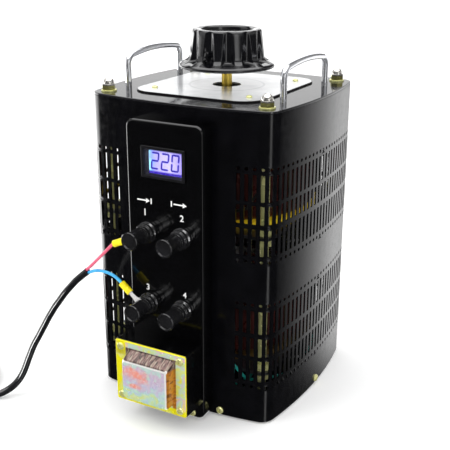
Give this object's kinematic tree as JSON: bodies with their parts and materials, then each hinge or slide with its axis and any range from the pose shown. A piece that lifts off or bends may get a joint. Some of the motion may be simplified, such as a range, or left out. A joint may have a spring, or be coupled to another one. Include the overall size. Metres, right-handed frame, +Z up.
{
  "type": "bench variable autotransformer",
  "caption": "Vented case with stacked toroidal coils on one brush shaft, a fluted knob over a dial plate, carrying handles, a digital meter, binding posts and a two-core lead.",
  "frame": {"origin": "on the surface that the feet stand on, below the middle of the object without its lead", "axes": "+Z up, -Y towards the front panel, +X to the right as seen from the front"},
  "size_m": [0.4093, 0.3255, 0.3545],
  "materials": {
    "case_black": "gloss black stoved enamel",
    "lid_black": "gloss black stoved enamel",
    "panel_black": "gloss black stoved enamel",
    "foot_rubber": "matt moulded rubber",
    "yellow_zinc": "yellow passivated zinc plate",
    "nickel": "bright nickel plate",
    "dial_silver": "brushed clear anodised",
    "handle_chrome": "polished chrome plate",
    "cover_zinc": "iridescent yellow zinc plate",
    "bezel_grey": "fine moulded grain",
    "window_clear": "clear tinted acrylic",
    "display_lit": "backlit display",
    "post_black": "moulded phenolic",
    "plate_steel": "zinc-plated sheet steel",
    "ring_yellow": "glass-filled board",
    "core_steel": "wound silicon steel strip",
    "winding_copper": "enamelled copper wire",
    "bare_copper": "ground bare copper",
    "bush_bronze": "sintered bronze",
    "arm_aluminium": "die cast",
    "carbon": "pressed graphite",
    "knob_black": "polished phenolic",
    "wire_teal": "extruded insulation",
    "sleeve_yellow": "vinyl sleeve",
    "core_red": "extruded insulation",
    "core_blue": "extruded insulation",
    "lead_black": "extruded sheath",
    "tie_grey": "woven hook-and-loop strap"
  },
  "bodies": {
    "frame": {"case_wrap": "case_black", "base_plate": "case_black", "top_plate": "lid_black", "front_panel": "panel_black", "rubber_feet": "foot_rubber", "tie_rods": "yellow_zinc", "rod_nuts": "yellow_zinc", "rod_washers": "yellow_zinc", "small_nuts": "yellow_zinc", "dial_screws": "yellow_zinc", "pan_head_screws": "yellow_zinc", "post_studs": "yellow_zinc", "acorn_nuts": "nickel", "plug_pins": "nickel", "lead_forks": "nickel", "dial_plate": "dial_silver", "left_handle": "handle_chrome", "right_handle": "handle_chrome", "box_cover": "cover_zinc", "meter_housing": "bezel_grey", "meter_window": "window_clear", "meter_display": "display_lit", "post_bases": "post_black", "top_bush": "post_black", "coil_plates": "plate_steel", "stop_pin": "plate_steel", "insulating_rings": "ring_yellow", "coil_cores": "core_steel", "lower_winding": "winding_copper", "upper_winding": "winding_copper", "coil_tracks": "bare_copper", "shaft_bushes": "bush_bronze", "internal_wires": "wire_teal", "fork_sleeves": "sleeve_yellow", "red_core": "core_red", "blue_core": "core_blue", "sheathed_lead": "lead_black", "lead_coil": "lead_black", "plug": "lead_black", "lead_tie": "tie_grey"},
    "rotor": {"shaft": "yellow_zinc", "knob": "knob_black", "knob_disc": "knob_black", "grub_screws": "plate_steel", "lower_brush_arm": "arm_aluminium", "upper_brush_arm": "arm_aluminium", "brush_holders": "bush_bronze", "stop_arm": "arm_aluminium", "lower_brush_spring": "plate_steel", "upper_brush_spring": "plate_steel"},
    "lower_brush_body": {"lower_brush": "carbon"},
    "upper_brush_body": {"upper_brush": "carbon"},
    "upper_left_clamp": {"upper_left_washer": "nickel"},
    "upper_left_post_cap": {"upper_left_cap": "post_black"},
    "upper_right_clamp": {"upper_right_washer": "nickel"},
    "upper_right_post_cap": {"upper_right_cap": "post_black"},
    "lower_left_clamp": {"lower_left_washer": "nickel"},
    "lower_left_post_cap": {"lower_left_cap": "post_black"},
    "lower_right_clamp": {"lower_right_washer": "nickel"},
    "lower_right_post_cap": {"lower_right_cap": "post_black"}
  },
  "joints": [
    {"name": "rotor_turn", "type": "hinge", "parent": "frame", "child": "rotor", "pos_m": [0, 0.0269, 0.2], "axis": [0, 0, 1], "range_deg": [-38, 282]},
    {"name": "lower_brush_lift", "type": "slide", "parent": "rotor", "child": "lower_brush_body", "axis": [0, 0, 1], "range_m": [0, 0.002], "stiffness_N_per_m": 400, "springref_m": -0.003, "deforming": ["lower_brush_spring"]},
    {"name": "upper_brush_lift", "type": "slide", "parent": "rotor", "child": "upper_brush_body", "axis": [0, 0, 1], "range_m": [0, 0.002], "stiffness_N_per_m": 400, "springref_m": -0.003, "deforming": ["upper_brush_spring"]},
    {"name": "upper_left_clamp_slide", "type": "slide", "parent": "frame", "child": "upper_left_clamp", "axis": [0, -1, 0], "range_m": [0, 0.0041]},
    {"name": "upper_left_cap_turn", "type": "hinge", "parent": "upper_left_clamp", "child": "upper_left_post_cap", "pos_m": [-0.018, -0.1081, 0.183], "axis": [0, -1, 0], "range_deg": [0, 1440]},
    {"name": "upper_right_clamp_slide", "type": "slide", "parent": "frame", "child": "upper_right_clamp", "axis": [0, -1, 0], "range_m": [0, 0.0041]},
    {"name": "upper_right_cap_turn", "type": "hinge", "parent": "upper_right_clamp", "child": "upper_right_post_cap", "pos_m": [0.018, -0.1081, 0.183], "axis": [0, -1, 0], "range_deg": [0, 1440]},
    {"name": "lower_left_clamp_slide", "type": "slide", "parent": "frame", "child": "lower_left_clamp", "axis": [0, -1, 0], "range_m": [0, 0.0041]},
    {"name": "lower_left_cap_turn", "type": "hinge", "parent": "lower_left_clamp", "child": "lower_left_post_cap", "pos_m": [-0.018, -0.1081, 0.113], "axis": [0, -1, 0], "range_deg": [0, 1440]},
    {"name": "lower_right_clamp_slide", "type": "slide", "parent": "frame", "child": "lower_right_clamp", "axis": [0, -1, 0], "range_m": [0, 0.0041]},
    {"name": "lower_right_cap_turn", "type": "hinge", "parent": "lower_right_clamp", "child": "lower_right_post_cap", "pos_m": [0.018, -0.1081, 0.113], "axis": [0, -1, 0], "range_deg": [0, 1440]}
  ],
  "couplings": [
    {"joint": "upper_left_clamp_slide", "follows": "upper_left_cap_turn", "m_per_rad": 0.00015915},
    {"joint": "upper_right_clamp_slide", "follows": "upper_right_cap_turn", "m_per_rad": 0.00015915},
    {"joint": "lower_left_clamp_slide", "follows": "lower_left_cap_turn", "m_per_rad": 0.00015915},
    {"joint": "lower_right_clamp_slide", "follows": "lower_right_cap_turn", "m_per_rad": 0.00015915}
  ]
}
